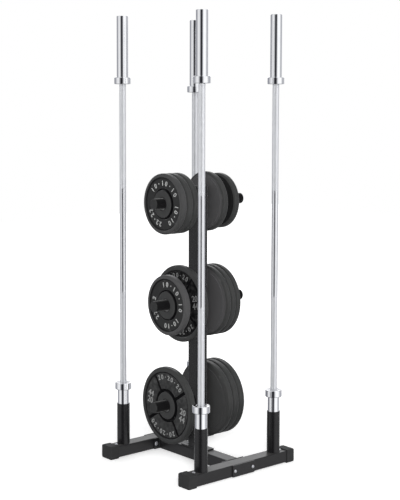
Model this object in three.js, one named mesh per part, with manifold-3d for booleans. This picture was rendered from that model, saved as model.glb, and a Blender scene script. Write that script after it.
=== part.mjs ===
// Barbell storage rack with the four barbells and fourteen plates that it holds.
// Millimetres. X runs along the two base rails and the plate pegs, Y along the crossbar, Z is up.
// The origin is on the floor, under the middle of the crossbar.

import * as THREE from 'three';
import { mergeVertices } from 'three/addons/utils/BufferGeometryUtils.js';
import Module from 'manifold-3d';

const wasm = await Module();
wasm.setup();

// Clearances and fineness of the round shapes
const fitGap = 0.3;
const overrun = 5;
const tubeSegments = 16;
const plateSegments = 24;
const boltSegments = 8;
const cornerSegments = 2;
const nutSides = 6;

// Base rails and crossbar, rectangular steel tube
const railLength = 592;
const railWidth = 64;
const railHeight = 50;
const railSpacing = 524;
const crossbarWidth = 64;
const tubeWall = 2.5;
const tubeCorner = 5;

// Wrap-around foot caps on the rail ends
const footWall = 3.7;
const footLap = 38;
const footCorner = 7;
const footEdge = 2;

// Flanges welded to the crossbar, and the clamp plates outside the rails
const flangeWidth = 124;
const flangeThickness = 5;
const clampThickness = 5;
const railBoltSpacing = 100;

// Post on the crossbar
const postTop = 1204;
const postWidth = 60;
const postPlateLength = 150;
const postPlateWidth = 62;
const postPlateThickness = 6;
const postBoltSpacing = 112;
const postCapThickness = 5;
const postPlugDepth = 16;

// Plate pegs through the post
const pegLevels = ['low', 'middle', 'top'];
const lowestPegHeight = 271;
const pegLevelSpacing = 433;
const pegTipReach = 248;
const pegDiameter = 46;
const pegWall = 3;
const pegCapThickness = 4;
const pegCapEdge = 1.5;
const pegPlugDepth = 14;

// Dome-head bolts with hexagon nuts
const boltDiameter = 8;
const boltHeadDiameter = 15;
const boltHeadHeight = 5;
const nutAcrossCorners = 15;
const nutThickness = 6.5;
const boltTail = 3;

// Bar sockets, set in from the rail ends
const socketInset = 89;
const socketHeight = 180;
const socketDiameter = 56;
const socketBore = 52.4;
const socketDepth = 199;
const socketFloor = 6;
const socketEdge = 0.8;
const socketFootEdge = 2;
const socketBoltOffset = 38;

// Barbells. The rear right one has longer sleeves and a shorter grip than the other three.
const barLength = 1896;
const sleeveLength = 263;
const longSleeveLength = 297;
const sleeveDiameter = 50;
const sleeveEdge = 2;
const collarThickness = 30;
const collarDiameter = 72;
const collarEdge = 2.5;
const shaftDiameter = 28;
const neckDiameter = 25;
const neckLength = 200;
const neckClearance = 0.7;

// Cast plates: outer size, thickness and the widths of the raised rim and hub
const plateBore = 51;
const plateEdge = 5;
const plateRimSlope = 3;
const smallPlate = { diameter: 240, thickness: 33, rim: 14, hub: 92, recess: 7 };
const mediumPlate = { diameter: 258, thickness: 33, rim: 14, hub: 118, recess: 7 };
const broadPlate = { diameter: 310, thickness: 28, rim: 18, hub: 118, recess: 7 };
const largePlate = { diameter: 330, thickness: 33, rim: 18, hub: 118, recess: 8 };

// Gaps behind the plates, to the post or to the next plate inwards
const stackGap = 0.4;
const topLeftGap = 70;
const topRightOuterGap = 40;
const middleLeftGap = 48;
const middleLeftOuterGap = 35;
const lowLeftGap = 116;

// Heights and reaches worked out from the sizes above
const railBottom = footWall + fitGap;
const railTop = railBottom + railHeight;
const railMiddle = railBottom + railHeight / 2;
const railFace = railSpacing / 2 - railWidth / 2;
const railOuterFace = railSpacing / 2 + railWidth / 2;
const crossbarHalf = railFace - fitGap;
const postPlateBottom = railTop + fitGap;
const postPlateTop = postPlateBottom + postPlateThickness;
const socketSpacing = railLength - 2 * socketInset;
const socketSeat = railBottom + tubeWall + fitGap;
const socketTop = railTop + socketHeight;
const socketFloorTop = socketTop - socketDepth;
const sleeveSeat = socketFloorTop + fitGap;
const pegRadius = pegDiameter / 2;
const pegTubeReach = pegTipReach - pegCapThickness - fitGap;
const postFace = postWidth / 2;

// Finishes
const powderCoat = new THREE.MeshStandardMaterial({ color: 0x2b2a2b, roughness: 0.55, metalness: 0.3 });
const plastic = new THREE.MeshStandardMaterial({ color: 0x2a2a2a, roughness: 0.8, metalness: 0 });
const boltSteel = new THREE.MeshStandardMaterial({ color: 0xc8c9cc, roughness: 0.3, metalness: 1 });
const chrome = new THREE.MeshStandardMaterial({ color: 0xe6e7ea, roughness: 0.12, metalness: 1 });
const knurledChrome = new THREE.MeshStandardMaterial({ color: 0xd6d7da, roughness: 0.35, metalness: 1 });
const castIron = new THREE.MeshStandardMaterial({ color: 0x333333, roughness: 0.7, metalness: 0.4 });

// A closed mesh as a solid that can be joined and cut
function solid(geometry) {
  const bare = geometry.clone();
  bare.deleteAttribute('normal');
  bare.deleteAttribute('uv');
  const merged = mergeVertices(bare);
  const vertProperties = new Float32Array(merged.attributes.position.array);
  const triVerts = new Uint32Array(merged.index.array);
  return new wasm.Manifold(new wasm.Mesh({ numProp: 3, vertProperties, triVerts }));
}

// A solid back as a geometry with flat faces
function faceted(body) {
  const result = body.getMesh();
  const geometry = new THREE.BufferGeometry();
  const corners = new Float32Array(result.vertProperties);
  geometry.setAttribute('position', new THREE.BufferAttribute(corners, result.numProp));
  geometry.setIndex(new THREE.BufferAttribute(new Uint32Array(result.triVerts), 1));
  geometry.computeVertexNormals();
  return geometry;
}

// The first solid with the others cut away from it
function cut(body, ...tools) {
  return tools.reduce((rest, tool) => rest.subtract(tool), body);
}

// The first solid with the others joined to it
function join(body, ...more) {
  return more.reduce((whole, piece) => whole.add(piece), body);
}

const axisX = new THREE.Vector3(1, 0, 0);
const axisY = new THREE.Vector3(0, 1, 0);
const axisZ = new THREE.Vector3(0, 0, 1);

// Turns a geometry made along Z so that it lies along the named axis
function along(axis, geometry) {
  const bases = {
    x: [axisY, axisZ, axisX],
    y: [axisZ, axisX, axisY],
    z: [axisX, axisY, axisZ],
  };
  return geometry.applyMatrix4(new THREE.Matrix4().makeBasis(...bases[axis]));
}

// A rectangle with rounded corners, centred on the origin
function roundedRectangle(width, height, corner, Outline = THREE.Shape) {
  const [x, y] = [width / 2, height / 2];
  const outline = new Outline();
  outline.moveTo(-x + corner, -y);
  outline.lineTo(x - corner, -y);
  outline.absarc(x - corner, -y + corner, corner, -Math.PI / 2, 0);
  outline.lineTo(x, y - corner);
  outline.absarc(x - corner, y - corner, corner, 0, Math.PI / 2);
  outline.lineTo(-x + corner, y);
  outline.absarc(-x + corner, y - corner, corner, Math.PI / 2, Math.PI);
  outline.lineTo(-x, -y + corner);
  outline.absarc(-x + corner, -y + corner, corner, Math.PI, Math.PI * 1.5);
  return outline;
}

// A bar of a given section, centred on its own length along Z
function extruded(outline, length) {
  const settings = { depth: length, bevelEnabled: false, curveSegments: cornerSegments };
  return new THREE.ExtrudeGeometry(outline, settings).translate(0, 0, -length / 2);
}

// A rectangular tube, centred, along Z
function rectangularTube(width, height, length) {
  const outline = roundedRectangle(width, height, tubeCorner);
  const inside = [width - 2 * tubeWall, height - 2 * tubeWall, tubeCorner - tubeWall];
  outline.holes.push(roundedRectangle(...inside, THREE.Path));
  return extruded(outline, length);
}

// A solid of revolution about Z from radius and height pairs
function turned(profile, segments) {
  const points = profile.map(([radius, height]) => new THREE.Vector2(radius, height));
  return new THREE.LatheGeometry(points, segments).rotateX(Math.PI / 2);
}

// A round cutter, centred, along an axis
function drill(diameter, length, axis, x, y, z, segments = boltSegments) {
  const hole = new THREE.CylinderGeometry(diameter / 2, diameter / 2, length, segments);
  return solid(along(axis, hole.rotateX(Math.PI / 2)).translate(x, y, z));
}

// A block, centred on a point
function block(sizeX, sizeY, sizeZ, x, y, z) {
  return solid(new THREE.BoxGeometry(sizeX, sizeY, sizeZ).translate(x, y, z));
}

const rack = new THREE.Group();

// Adds one named piece to the rack
function add(name, geometry, material, x = 0, y = 0, z = 0) {
  const mesh = new THREE.Mesh(geometry, material.clone());
  mesh.name = name;
  mesh.position.set(x, y, z);
  rack.add(mesh);
  return mesh;
}

const sides = [
  { name: 'left', x: -1 },
  { name: 'right', x: 1 },
];
const ends = [
  { name: 'front', y: -1 },
  { name: 'rear', y: 1 },
];

// Base rails: open tubes with holes for the sockets, the socket bolts and the crossbar bolts
function railGeometry() {
  const holes = [];
  const boltHole = boltDiameter + 2 * fitGap;
  const topCut = tubeWall + 2 * overrun;
  const topWall = railHeight / 2 - tubeWall / 2;
  for (const side of sides) {
    const socketX = (side.x * socketSpacing) / 2;
    const socketHole = socketDiameter + 2 * fitGap;
    holes.push(drill(socketHole, topCut, 'z', socketX, 0, topWall, tubeSegments));
    const boltX = socketX + side.x * socketBoltOffset;
    holes.push(drill(boltHole, topCut, 'z', boltX, 0, topWall));
    const crossX = (side.x * railBoltSpacing) / 2;
    holes.push(drill(boltHole, railWidth + 2 * overrun, 'y', crossX, 0, 0));
  }
  const tube = along('x', rectangularTube(railWidth, railHeight, railLength));
  return faceted(cut(solid(tube), ...holes));
}

// A foot cap for the rail end at +X, open towards the rail
function footCapGeometry() {
  const reach = railLength / 2 + fitGap + footWall;
  const lip = railLength / 2 - footLap;
  const spare = 2 * (footWall + fitGap);
  const outline = roundedRectangle(railWidth + spare, railHeight + spare, footCorner);
  const shell = new THREE.ExtrudeGeometry(outline, {
    depth: reach - lip - 2 * footEdge,
    bevelThickness: footEdge,
    bevelSize: footEdge,
    bevelOffset: -footEdge,
    bevelSegments: 1,
    curveSegments: cornerSegments,
  });
  const outside = along('x', shell).translate(lip + footEdge, 0, 0);
  const pocketDepth = footLap + fitGap + overrun;
  const pocket = extruded(
    roundedRectangle(railWidth + 2 * fitGap, railHeight + 2 * fitGap, tubeCorner + fitGap),
    pocketDepth,
  );
  const pocketX = lip - overrun + pocketDepth / 2;
  return faceted(cut(solid(outside), solid(along('x', pocket).translate(pocketX, 0, 0))));
}

// A bolt along Z: its head sits on the plane of the origin, and its nut lies below the grip
function boltGeometry(grip) {
  const headRadius = boltHeadDiameter / 2;
  const rise = boltHeadHeight;
  const steps = [0, 1, 2];
  const dome = steps.map((step) => {
    const angle = (step / steps.length) * (Math.PI / 2);
    return [headRadius * Math.cos(angle), fitGap + rise * Math.sin(angle)];
  });
  const tip = -grip - fitGap - nutThickness - boltTail;
  const radius = boltDiameter / 2;
  const profile = [[0, tip], [radius, tip], [radius, fitGap], ...dome, [0, fitGap + rise]];
  const nutRadius = nutAcrossCorners / 2;
  const nut = new THREE.CylinderGeometry(nutRadius, nutRadius, nutThickness, nutSides);
  nut.rotateX(Math.PI / 2).translate(0, 0, -grip - fitGap - nutThickness / 2);
  return faceted(join(solid(turned(profile, boltSegments)), solid(nut)));
}

for (const end of ends) {
  const railY = (end.y * railSpacing) / 2;
  add(`${end.name}_rail`, railGeometry(), powderCoat, 0, railY, railMiddle);
  for (const side of sides) {
    const cap = add(`${end.name}_${side.name}_foot_cap`, footCapGeometry(), plastic);
    cap.position.set(0, railY, railMiddle);
    cap.rotation.z = side.x > 0 ? 0 : Math.PI;
  }
}

// Crossbar: a tube with a welded flange at each end, bolted between the rails
function crossbarGeometry() {
  const holes = [];
  const boltHole = boltDiameter + 2 * fitGap;
  const flangeMiddle = crossbarHalf - flangeThickness / 2;
  const flanges = ends.map((end) =>
    block(flangeWidth, flangeThickness, railHeight, 0, end.y * flangeMiddle, 0),
  );
  for (const end of ends) {
    for (const side of sides) {
      const boltX = (side.x * railBoltSpacing) / 2;
      const cutLength = flangeThickness + 2 * overrun;
      holes.push(drill(boltHole, cutLength, 'y', boltX, end.y * flangeMiddle, 0));
    }
    const boltY = (end.y * postBoltSpacing) / 2;
    const topWall = railHeight / 2 - tubeWall / 2;
    holes.push(drill(boltHole, tubeWall + 2 * overrun, 'z', 0, boltY, topWall));
  }
  const tubeLength = 2 * crossbarHalf - flangeThickness;
  const tube = along('y', rectangularTube(railHeight, crossbarWidth, tubeLength));
  return faceted(cut(join(solid(tube), ...flanges), ...holes));
}
add('crossbar', crossbarGeometry(), powderCoat, 0, 0, railMiddle);

// Clamp plates outside the rails, and the bolts that tie plate, rail and flange together
const clampMiddle = railOuterFace + fitGap + clampThickness / 2;
const railGrip = clampThickness + railWidth + flangeThickness + 2 * fitGap;
for (const end of ends) {
  const plate = block(flangeWidth, clampThickness, railHeight, 0, 0, 0);
  const holes = sides.map((side) => {
    const boltX = (side.x * railBoltSpacing) / 2;
    return drill(boltDiameter + 2 * fitGap, clampThickness + 2 * overrun, 'y', boltX, 0, 0);
  });
  const clampY = end.y * clampMiddle;
  add(`${end.name}_clamp_plate`, faceted(cut(plate, ...holes)), powderCoat, 0, clampY, railMiddle);
  for (const side of sides) {
    const bolt = add(`${end.name}_${side.name}_rail_bolt`, boltGeometry(railGrip), boltSteel);
    const boltX = (side.x * railBoltSpacing) / 2;
    bolt.position.set(boltX, end.y * (clampMiddle + clampThickness / 2), railMiddle);
    bolt.rotation.x = end.y > 0 ? -Math.PI / 2 : Math.PI / 2;
  }
}

// Post: a square tube welded on a base plate, with holes for the pegs
const pegHeights = pegLevels.map((level, index) => lowestPegHeight + index * pegLevelSpacing);

function postGeometry() {
  const tubeBottom = postPlateBottom + postPlateThickness / 2;
  const tubeLength = postTop - postCapThickness - fitGap - tubeBottom;
  const tube = rectangularTube(postWidth, postWidth, tubeLength);
  tube.translate(0, 0, tubeBottom + tubeLength / 2);
  const plateZ = postPlateBottom + postPlateThickness / 2;
  const plate = block(postPlateWidth, postPlateLength, postPlateThickness, 0, 0, plateZ);
  const pegHole = pegDiameter + 2 * fitGap;
  const pegHoles = pegHeights.map((height) =>
    drill(pegHole, postWidth + 2 * overrun, 'x', 0, 0, height, tubeSegments),
  );
  const boltHoles = ends.map((end) => {
    const cutLength = postPlateThickness + 2 * overrun;
    const boltY = (end.y * postBoltSpacing) / 2;
    return drill(boltDiameter + 2 * fitGap, cutLength, 'z', 0, boltY, plateZ);
  });
  return faceted(cut(join(solid(tube), plate), ...pegHoles, ...boltHoles));
}
add('post', postGeometry(), powderCoat);

const postGrip = postPlateThickness + fitGap + tubeWall;
for (const end of ends) {
  const boltY = (end.y * postBoltSpacing) / 2;
  add(`${end.name}_post_bolt`, boltGeometry(postGrip), boltSteel, 0, boltY, postPlateTop);
}

// Post cap: a square top with a plug inside the tube
function postCapGeometry() {
  const top = extruded(roundedRectangle(postWidth, postWidth, tubeCorner), postCapThickness);
  top.translate(0, 0, -postCapThickness / 2);
  const plugWidth = postWidth - 2 * (tubeWall + fitGap);
  const plugCorner = tubeCorner - tubeWall;
  const plugLength = postPlugDepth + postCapThickness;
  const plug = extruded(roundedRectangle(plugWidth, plugWidth, plugCorner), plugLength);
  plug.translate(0, 0, -postCapThickness / 2 - plugLength / 2);
  return faceted(join(solid(top), solid(plug)));
}
add('post_cap', postCapGeometry(), plastic, 0, 0, postTop);

// Pegs: one round tube through the post at each level, with a plug cap in each end
function pegGeometry() {
  const bore = pegRadius - pegWall;
  const ring = [
    [bore, -pegTubeReach],
    [pegRadius, -pegTubeReach],
    [pegRadius, pegTubeReach],
    [bore, pegTubeReach],
    [bore, -pegTubeReach],
  ];
  return faceted(solid(along('x', turned(ring, tubeSegments))));
}

function pegCapGeometry() {
  const plugRadius = (pegRadius - pegWall) * Math.cos(Math.PI / tubeSegments) - fitGap;
  const profile = [
    [0, -pegCapThickness - pegPlugDepth],
    [plugRadius, -pegCapThickness - pegPlugDepth],
    [plugRadius, -pegCapThickness],
    [pegRadius, -pegCapThickness],
    [pegRadius, -pegCapEdge],
    [pegRadius - pegCapEdge, 0],
    [0, 0],
  ];
  return faceted(solid(along('x', turned(profile, tubeSegments))));
}

pegLevels.forEach((level, index) => {
  add(`${level}_peg`, pegGeometry(), powderCoat, 0, 0, pegHeights[index]);
  for (const side of sides) {
    const cap = add(`${level}_${side.name}_peg_cap`, pegCapGeometry(), plastic);
    cap.position.set(side.x * pegTipReach, 0, pegHeights[index]);
    cap.rotation.z = side.x > 0 ? 0 : Math.PI;
  }
});

// Sockets: tubes that stand inside the rails, each with a floor plate for the bar and a bolt beside it
function socketGeometry() {
  const radius = socketDiameter / 2;
  const bore = socketBore / 2;
  const profile = [
    [0, socketFloorTop - socketFloor],
    [bore, socketFloorTop - socketFloor],
    [bore, socketSeat],
    [radius - socketEdge, socketSeat],
    [radius, socketSeat + socketFootEdge],
    [radius, socketTop - socketEdge],
    [radius - socketEdge, socketTop],
    [bore, socketTop],
    [bore, socketFloorTop],
    [0, socketFloorTop],
  ];
  return faceted(solid(turned(profile, tubeSegments)));
}

// Barbell shaft, standing with its lower neck in the lower sleeve
function shaftGeometry(sleeve) {
  const grip = barLength / 2 - sleeve - collarThickness;
  const neck = neckDiameter / 2;
  const shaft = shaftDiameter / 2;
  const profile = [
    [0, -grip - neckLength],
    [neck, -grip - neckLength],
    [neck, -grip],
    [shaft, -grip],
    [shaft, grip],
    [neck, grip],
    [neck, grip + neckLength],
    [0, grip + neckLength],
  ];
  return faceted(solid(turned(profile, tubeSegments)));
}

// Sleeve with its collar, bored for the shaft's neck. The collar's inner face is at the origin.
function sleeveGeometry(sleeve) {
  const bore = neckDiameter / 2 + neckClearance;
  const radius = sleeveDiameter / 2;
  const collar = collarDiameter / 2;
  const tip = collarThickness + sleeve;
  const profile = [
    [0, neckLength + fitGap],
    [bore, neckLength + fitGap],
    [bore, fitGap],
    [collar - collarEdge, fitGap],
    [collar, fitGap + collarEdge],
    [collar, collarThickness - collarEdge],
    [collar - collarEdge, collarThickness],
    [radius, collarThickness],
    [radius, tip - sleeveEdge],
    [radius - sleeveEdge, tip],
    [0, tip],
  ];
  return faceted(solid(turned(profile, tubeSegments)));
}

const barMiddle = sleeveSeat + barLength / 2;
for (const end of ends) {
  for (const side of sides) {
    const name = `${end.name}_${side.name}`;
    const [x, y] = [(side.x * socketSpacing) / 2, (end.y * railSpacing) / 2];
    add(`${name}_socket`, socketGeometry(), powderCoat, x, y, 0);
    const boltX = x + side.x * socketBoltOffset;
    add(`${name}_socket_bolt`, boltGeometry(tubeWall), boltSteel, boltX, y, railTop);

    const sleeve = name === 'rear_right' ? longSleeveLength : sleeveLength;
    const grip = barLength / 2 - sleeve - collarThickness;
    add(`${name}_bar_shaft`, shaftGeometry(sleeve), knurledChrome, x, y, barMiddle);
    add(`${name}_bar_upper_sleeve`, sleeveGeometry(sleeve), chrome, x, y, barMiddle + grip);
    const lower = add(`${name}_bar_lower_sleeve`, sleeveGeometry(sleeve), chrome);
    lower.position.set(x, y, barMiddle - grip);
    lower.rotation.x = Math.PI;
  }
}

// A cast plate with a flat back at the origin and a raised rim and hub on its front, along +X
function plateGeometry({ diameter, thickness, rim, hub, recess }) {
  const radius = diameter / 2;
  const bore = plateBore / 2;
  const web = thickness - recess;
  const profile = [
    [bore, 0],
    [radius - plateEdge, 0],
    [radius, plateEdge],
    [radius, thickness - plateEdge],
    [radius - plateEdge, thickness],
    [radius - rim, thickness],
    [radius - rim - plateRimSlope, web],
    [hub / 2 + plateRimSlope, web],
    [hub / 2, thickness],
    [bore, thickness],
    [bore, 0],
  ];
  return faceted(solid(along('x', turned(profile, plateSegments))));
}

// Plates on the pegs, listed from the post outwards, each with the gap behind it
const stacks = [
  {
    level: 'top',
    side: sides[0],
    plates: [
      [mediumPlate, topLeftGap],
      [mediumPlate, stackGap],
      [mediumPlate, stackGap],
    ],
  },
  {
    level: 'top',
    side: sides[1],
    plates: [
      [mediumPlate, fitGap],
      [smallPlate, topRightOuterGap],
    ],
  },
  {
    level: 'middle',
    side: sides[0],
    plates: [
      [largePlate, middleLeftGap],
      [mediumPlate, middleLeftOuterGap],
    ],
  },
  {
    level: 'middle',
    side: sides[1],
    plates: [
      [broadPlate, fitGap],
      [broadPlate, stackGap],
      [broadPlate, stackGap],
    ],
  },
  { level: 'low', side: sides[0], plates: [[largePlate, lowLeftGap]] },
  {
    level: 'low',
    side: sides[1],
    plates: [
      [largePlate, fitGap],
      [largePlate, stackGap],
      [largePlate, stackGap],
    ],
  },
];

// How far a plate hangs below the axis of its peg, its bore resting on the peg's top
const plateDrop = (plateBore / 2) * Math.cos(Math.PI / plateSegments) - pegRadius - fitGap;

for (const { level, side, plates } of stacks) {
  const height = pegHeights[pegLevels.indexOf(level)] - plateDrop;
  let back = postFace;
  plates.forEach(([plate, gap], index) => {
    back += gap;
    const mesh = add(`${level}_${side.name}_plate_${index + 1}`, plateGeometry(plate), castIron);
    mesh.position.set(side.x * back, 0, height);
    mesh.rotation.z = side.x > 0 ? 0 : Math.PI;
    back += plate.thickness;
  });
}

export default rack;
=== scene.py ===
import random
from functools import cache
from math import asin, atan2, cos, degrees, dist, hypot, pi, radians, remainder, sin, tan, tau

import bmesh
import bpy
from mathutils import Matrix, Vector


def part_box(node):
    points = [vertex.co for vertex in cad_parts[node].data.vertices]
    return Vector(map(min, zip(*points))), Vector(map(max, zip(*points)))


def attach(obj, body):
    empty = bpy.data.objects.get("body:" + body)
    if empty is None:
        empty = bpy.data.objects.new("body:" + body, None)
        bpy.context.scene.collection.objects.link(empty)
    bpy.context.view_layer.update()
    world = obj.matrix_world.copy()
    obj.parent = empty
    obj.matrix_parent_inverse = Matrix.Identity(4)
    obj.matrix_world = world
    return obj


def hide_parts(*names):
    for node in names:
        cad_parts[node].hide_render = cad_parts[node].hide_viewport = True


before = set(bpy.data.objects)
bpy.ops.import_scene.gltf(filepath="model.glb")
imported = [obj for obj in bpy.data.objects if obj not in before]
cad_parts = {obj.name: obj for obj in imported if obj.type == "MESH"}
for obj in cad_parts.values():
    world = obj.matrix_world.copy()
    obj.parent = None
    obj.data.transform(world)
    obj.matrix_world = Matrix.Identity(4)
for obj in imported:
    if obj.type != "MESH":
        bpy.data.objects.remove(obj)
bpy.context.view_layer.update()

mm = 0.001
ENDS = {"front": -1, "rear": 1}
SIDES = {"left": -1, "right": 1}
LEVELS = ("low", "middle", "top")
CORNERS = [f"{end}_{side}" for end in ENDS for side in SIDES]

# Fineness of the round shapes
TURN_STEPS = 64
FINE_STEPS = 96
PLATE_STEPS = 128
BOLT_STEPS = 32
PANEL_STEPS = 18
BEAD_SIDES = 8
CORNER_STEPS = 6
FILLET_STEPS = 5
GUARD = 1.5 * mm
ON_AXIS = 0.001 * mm
SHARP_ANGLE = radians(38)

# The gap between pieces that touch
GAP = 0.3 * mm

# Steel tubes and plates
TUBE_WALL = 2.5 * mm
TUBE_CORNER = 5 * mm
PLATE_CORNER = 2 * mm
EDGE = 0.6 * mm
CROSSBAR_WIDTH = 64 * mm
FLANGE_THICKNESS = 5 * mm
BASE_PLATE_THICKNESS = 6 * mm
LID_THICKNESS = 5 * mm
LID_EDGE = 2 * mm
LID_PLAY = 0.6 * mm

# Weld beads: their size, and how they ripple
BEAD = 2.6 * mm
ROUND_BEAD = 1.7 * mm
BEAD_SPACING = 2 * mm
RIPPLE = 0.14
RIPPLE_PACE = 2.1
RIPPLE_CHANCE = 0.06

# Sockets, and how far the cut for them goes past the rail's wall and round them
SOCKET_BORE = 26.2 * mm
SOCKET_FLOOR = 6 * mm
SOCKET_TAPER = 2 * mm
SOCKET_TAPER_WIDTH = 0.6 * mm
CUT_PAST = 2 * mm
CUT_ROUND = 0.2 * mm

# Pegs and their caps
PEG_WALL = 3 * mm
PEG_CAP_PLAY = 0.7 * mm
PEG_CAP_LIP = 4 * mm
PEG_CAP_CROWN = 1 * mm

# Foot caps
FOOT_WALL = 3.7 * mm
FOOT_CORNER = 7 * mm
FOOT_EDGE = 3 * mm
FOOT_LIP = 1.2 * mm

# Bolts and nuts
BOLT_DIAMETER = 8 * mm
BOLT_HEAD = 15 * mm
BOLT_RISE = 5 * mm
BOLT_BRIM = 1.1 * mm
BOLT_POINT = 0.8 * mm
BOLT_TAIL = 3 * mm
KEY_RADIUS = 2.6 * mm
KEY_RIM = 0.9 * mm
KEY_DEPTH = 2.2 * mm
KEY_TIP_DEPTH = 2.8 * mm
NUT_THICKNESS = 6.5 * mm
NUT_SIZE = 15 * mm
NUT_CHAMFER = 1.2 * mm
NUT_FLANGE = 19 * mm
NUT_FLANGE_BRIM = 1.4 * mm
NUT_FLANGE_HEIGHT = 2.6 * mm
NUT_OVERLAP = 2 * mm

# Barbells
SHAFT_RADIUS = 14 * mm
SHAFT_EDGE = 0.4 * mm
NECK_RADIUS = 12.5 * mm
NECK_LENGTH = 200 * mm
NECK_CLEARANCE = 0.7 * mm
NECK_CHAMFER = 1.2 * mm
SLEEVE_RADIUS = 25 * mm
COLLAR_RADIUS = 36 * mm
COLLAR_THICKNESS = 30 * mm
COLLAR_GROOVE_DEPTH = 1.2 * mm
END_GROOVE_DEPTH = 1.6 * mm
END_DROP = 0.5 * mm
DIMPLE_DEPTH = 2.5 * mm
SMOOTH_GRIP = (733 * mm, 1187 * mm)
KNURL_PITCH = 1.5 * mm
KNURL_BLUR = 1.5 * mm
LATHE_PITCH = 0.9 * mm

# Cast plates: how much of the face is rim and hub, how deep the recess is, and the numbers on the face
PLATE_BORE = 51 * mm
BORE_CHAMFER = 4 * mm
PLATE_ROUND = 9.5 * mm
PLATE_BACK_ROUND = 8 * mm
BACK_DISC = 0.84
BACK_STEP = 1.8 * mm
BACK_STEP_WIDTH = 1.5 * mm
RECESS_SLOPE = 3 * mm
RECESS_LIP = 2.5 * mm
GROOVE_DEPTH = 4 * mm
HUB_DROP = 0.5 * mm
PANEL_GAP = 6 * mm
PANEL_START = 12 * mm
PANEL_END = 7 * mm
PANEL_LIP = 2.2 * mm
PANEL_ROOT = 0.5 * mm
PANEL_RISE = 4.5 * mm
RING_START = 8 * mm
RING_SHIFT = 1 * mm
PLATE_KINDS = {
    240: {"rim": 14 * mm, "hub": 92 * mm, "recess": 7 * mm, "numbers": ("5", "11"), "panels": False},
    258: {"rim": 14 * mm, "hub": 118 * mm, "recess": 7 * mm, "numbers": ("10", "22"), "panels": False},
    310: {"rim": 18 * mm, "hub": 118 * mm, "recess": 7 * mm, "numbers": ("15", "33"), "panels": True},
    330: {"rim": 18 * mm, "hub": 118 * mm, "recess": 8 * mm, "numbers": ("20", "44"), "panels": True},
}

# Numbers on the plates: their size, how far they stand out and how deep their foot is in the casting
MARK_SIZE = 29 * mm
LARGE_MARK_SIZE = MARK_SIZE * 1.25
MARK_RISE = 1.3 * mm
MARK_ROOT = 0.6 * mm
MARK_BOLDNESS = 0.012
DASH_SIZE = 5 * mm
DASH_CORNER = 1.5 * mm
DASH_EDGE = 0.3 * mm

# Arcs of numbers in a recess: which number, the most characters, and the middle and the spacing in degrees
RING_ARCS = ((0, 8, 85, 16), (0, 5, -33, 14), (1, 5, -130, 14))

# Numbers on raised panels: an arc at the top and bottom, and two rows on each of the other two panels
ARC_LENGTH = 8
ARC_SPACING = 10
ARC_INSET = 17 * mm
ROW_SHIFT = 3 * mm
ROW_DISTANCE = 16 * mm

# Painted shade in the hollows of a plate, from 0 to 1, and painted light on its back, where they aren't
# given for one plate
WEB_SHADE = 0.4
PANEL_FLOOR = 0.97
BACK_PAINTED_LIGHT = 0.25


# Shader nodes


def fill(tree, made, inputs):
    """Links each input of a node or gives it a value."""
    for key, value in inputs.items():
        if isinstance(value, bpy.types.NodeSocket):
            tree.links.new(value, made.inputs[key])
        else:
            made.inputs[key].default_value = value


def node(tree, kind, inputs=None, **settings):
    """A new shader node with its settings and inputs."""
    made = tree.nodes.new(f"ShaderNode{kind}")
    for key, value in settings.items():
        setattr(made, key, value)
    fill(tree, made, inputs or {})
    return made


def calc(tree, operation, *values):
    """The result of one sum."""
    return node(tree, "Math", dict(enumerate(values)), operation=operation).outputs[0]


def noise(tree, place, scale, detail=2.0, roughness=0.5):
    """Noise from 0 to 1."""
    inputs = {"Vector": place, "Scale": scale, "Detail": detail, "Roughness": roughness}
    return node(tree, "TexNoise", inputs).outputs["Fac"]


def ramp(tree, value, stops):
    """Colours along a value."""
    made = node(tree, "ValToRGB", {"Fac": value})
    elements = made.color_ramp.elements
    while len(elements) > 1:
        elements.remove(elements[-1])
    for index, (place, colour) in enumerate(stops):
        element = elements[0] if index == 0 else elements.new(place)
        element.position = place
        element.color = (*colour, 1)
    return made.outputs["Color"]


def blend_colours(tree, share, low, high):
    """low where share is 0, high where it is 1."""
    ends = [(*end, 1) if isinstance(end, tuple) else end for end in (low, high)]
    return node(tree, "Mix", {"Factor": share, 6: ends[0], 7: ends[1]}, data_type="RGBA").outputs[2]


def bump(tree, height, strength, distance, under=None):
    """A surface normal pushed about by a height."""
    inputs = {"Height": height, "Strength": strength, "Distance": distance}
    if under is not None:
        inputs["Normal"] = under
    return node(tree, "Bump", inputs).outputs["Normal"]


def between(tree, value, low, high, new_low, new_high):
    """value from one range moved to another, held at the ends."""
    inputs = {"Value": value, "From Min": low, "From Max": high, "To Min": new_low, "To Max": new_high}
    return node(tree, "MapRange", inputs).outputs["Result"]


# The parts of the range of noise over which colours and roughness change
CLOUD_SPAN = (0.3, 0.7)
SMEAR_SPAN = (0.35, 0.75)


def mottled(tree, clouds, low, high):
    """A colour that goes with the noise from one to another."""
    return ramp(tree, clouds, list(zip(CLOUD_SPAN, (low, high))))


def varied(tree, clouds, low, high):
    """A number that goes with the noise from one to another."""
    return between(tree, clouds, *CLOUD_SPAN, low, high)


def empty_tree(owner):
    """The node tree of a material or a world, emptied."""
    owner.use_nodes = True
    owner.node_tree.nodes.clear()
    return owner.node_tree


def parts(tree, place):
    """The X, Y and Z of a place."""
    return node(tree, "SeparateXYZ", {"Vector": place}).outputs


def material(name, finish, *values):
    """A material whose shader has the inputs that a finish gives it."""
    made = bpy.data.materials.new(name)
    tree = empty_tree(made)
    shader = node(tree, "BsdfPrincipled")
    node(tree, "OutputMaterial", {"Surface": shader.outputs["BSDF"]})
    place = node(tree, "TexCoord").outputs["Object"]
    fill(tree, shader, finish(tree, place, *values))
    return made


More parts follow.
